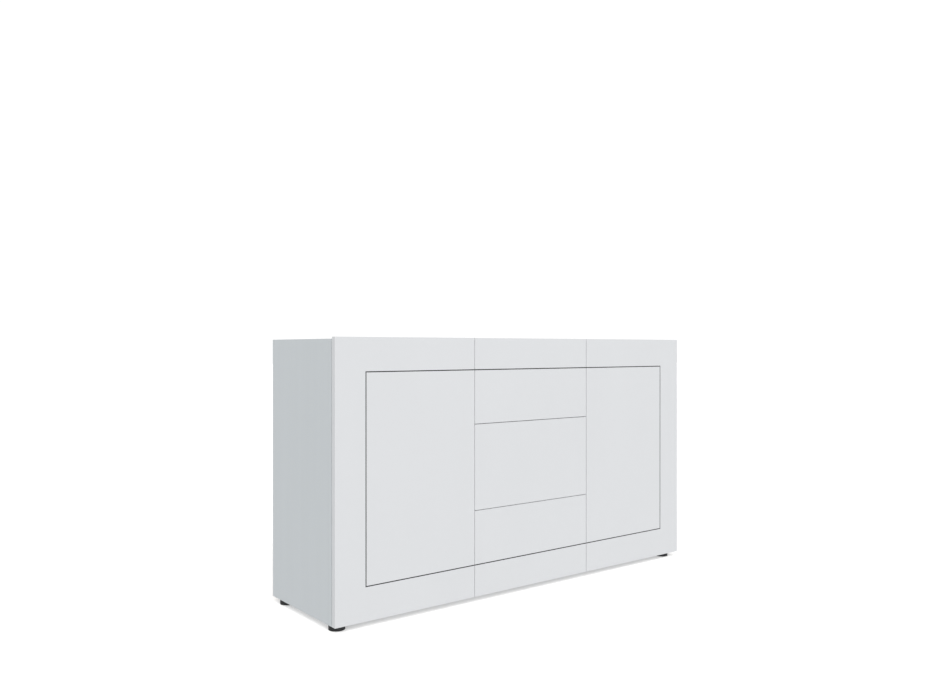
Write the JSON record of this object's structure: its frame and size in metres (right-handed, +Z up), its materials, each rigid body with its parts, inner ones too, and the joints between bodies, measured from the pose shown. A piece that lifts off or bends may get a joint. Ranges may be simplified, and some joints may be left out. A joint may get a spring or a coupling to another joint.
{
  "type": "sideboard buffet",
  "caption": "Low handleless sideboard with push-to-open doors either side of a stack of drawers, a dark inlaid line round the fronts, on low round feet.",
  "frame": {"origin": "centre of the footprint at floor level, midway between the sides and between the fronts and the rear edge", "axes": "+X to the right along the width, -Y out of the fronts, +Z up"},
  "size_m": [1.6, 0.434, 0.9],
  "materials": {
    "front_lacquer": "satin white lacquer on board",
    "carcass_lacquer": "satin light grey-white lacquer on board",
    "drawer_melamine": "matt off-white melamine on board",
    "hardboard": "raw brown hardboard",
    "dark_inlay": "matt black edging strip",
    "black_plastic": "matt black moulding",
    "grey_plastic": "matt grey moulding",
    "zinc_steel": "zinc-plated",
    "runner_steel": "zinc-plated rolled steel",
    "nickel_steel": "nickel-plated",
    "beech": "raw fluted beech"
  },
  "bodies": {
    "carcass": {"left_side_panel": "carcass_lacquer", "right_side_panel": "carcass_lacquer", "top_panel": "carcass_lacquer", "bottom_panel": "carcass_lacquer", "left_divider": "carcass_lacquer", "right_divider": "carcass_lacquer", "left_back_panel": "hardboard", "centre_back_panel": "hardboard", "right_back_panel": "hardboard", "left_shelf": "carcass_lacquer", "right_shelf": "carcass_lacquer", "shelf_pins": "nickel_steel", "cam_locks": "zinc_steel", "cam_bolts": "zinc_steel", "dowels": "beech", "feet": "black_plastic", "foot_screws": "zinc_steel", "hinge_plates": "nickel_steel", "hinge_plate_screws": "zinc_steel", "hinge_arms": "nickel_steel", "arm_screws": "zinc_steel", "latch_housings": "grey_plastic", "latch_screws": "zinc_steel", "runner_cabinet_members": "runner_steel", "runner_screws": "zinc_steel"},
    "left_door": {"left_door": "front_lacquer", "left_door_inlay": "dark_inlay", "left_hinge_cups": "nickel_steel", "left_cup_screws": "zinc_steel", "left_catch_plate": "zinc_steel"},
    "left_latch_plunger": {"left_latch_plunger": "black_plastic"},
    "right_door": {"right_door": "front_lacquer", "right_door_inlay": "dark_inlay", "right_hinge_cups": "nickel_steel", "right_cup_screws": "zinc_steel", "right_catch_plate": "zinc_steel"},
    "right_latch_plunger": {"right_latch_plunger": "black_plastic"},
    "bottom_drawer": {"bottom_drawer_front": "front_lacquer", "bottom_drawer_inlay": "dark_inlay", "bottom_drawer_left_side": "drawer_melamine", "bottom_drawer_right_side": "drawer_melamine", "bottom_drawer_back": "drawer_melamine", "bottom_drawer_bottom": "drawer_melamine", "bottom_drawer_runner_members": "runner_steel"},
    "bottom_intermediate_members": {"bottom_intermediate_members": "runner_steel"},
    "middle_drawer": {"middle_drawer_front": "front_lacquer", "middle_drawer_left_side": "drawer_melamine", "middle_drawer_right_side": "drawer_melamine", "middle_drawer_back": "drawer_melamine", "middle_drawer_bottom": "drawer_melamine", "middle_drawer_runner_members": "runner_steel"},
    "middle_intermediate_members": {"middle_intermediate_members": "runner_steel"},
    "top_drawer": {"top_drawer_front": "front_lacquer", "top_drawer_inlay": "dark_inlay", "top_drawer_left_side": "drawer_melamine", "top_drawer_right_side": "drawer_melamine", "top_drawer_back": "drawer_melamine", "top_drawer_bottom": "drawer_melamine", "top_drawer_runner_members": "runner_steel"},
    "top_intermediate_members": {"top_intermediate_members": "runner_steel"}
  },
  "joints": [
    {"name": "left_door_hinge", "type": "hinge", "parent": "carcass", "child": "left_door", "pos_m": [-0.7914, -0.214, 0.461], "axis": [0, 0, -1], "range_deg": [0, 105]},
    {"name": "left_latch_push", "type": "slide", "parent": "carcass", "child": "left_latch_plunger", "axis": [0, 1, 0], "range_m": [0, 0.0025], "stiffness_N_per_m": 400, "springref_m": -0.004},
    {"name": "right_door_hinge", "type": "hinge", "parent": "carcass", "child": "right_door", "pos_m": [0.7914, -0.214, 0.461], "axis": [0, 0, 1], "range_deg": [0, 105]},
    {"name": "right_latch_push", "type": "slide", "parent": "carcass", "child": "right_latch_plunger", "axis": [0, 1, 0], "range_m": [0, 0.0025], "stiffness_N_per_m": 400, "springref_m": -0.004},
    {"name": "bottom_drawer_slide", "type": "slide", "parent": "carcass", "child": "bottom_drawer", "axis": [0, -1, 0], "range_m": [-0.0025, 0.35]},
    {"name": "bottom_intermediate_slide", "type": "slide", "parent": "carcass", "child": "bottom_intermediate_members", "axis": [0, -1, 0], "range_m": [-0.0014, 0.1755]},
    {"name": "middle_drawer_slide", "type": "slide", "parent": "carcass", "child": "middle_drawer", "axis": [0, -1, 0], "range_m": [-0.0025, 0.35]},
    {"name": "middle_intermediate_slide", "type": "slide", "parent": "carcass", "child": "middle_intermediate_members", "axis": [0, -1, 0], "range_m": [-0.0014, 0.1755]},
    {"name": "top_drawer_slide", "type": "slide", "parent": "carcass", "child": "top_drawer", "axis": [0, -1, 0], "range_m": [-0.0025, 0.35]},
    {"name": "top_intermediate_slide", "type": "slide", "parent": "carcass", "child": "top_intermediate_members", "axis": [0, -1, 0], "range_m": [-0.0014, 0.1755]}
  ],
  "couplings": [
    {"joint": "bottom_intermediate_slide", "follows": "bottom_drawer_slide", "ratio": 0.5},
    {"joint": "middle_intermediate_slide", "follows": "middle_drawer_slide", "ratio": 0.5},
    {"joint": "top_intermediate_slide", "follows": "top_drawer_slide", "ratio": 0.5}
  ]
}
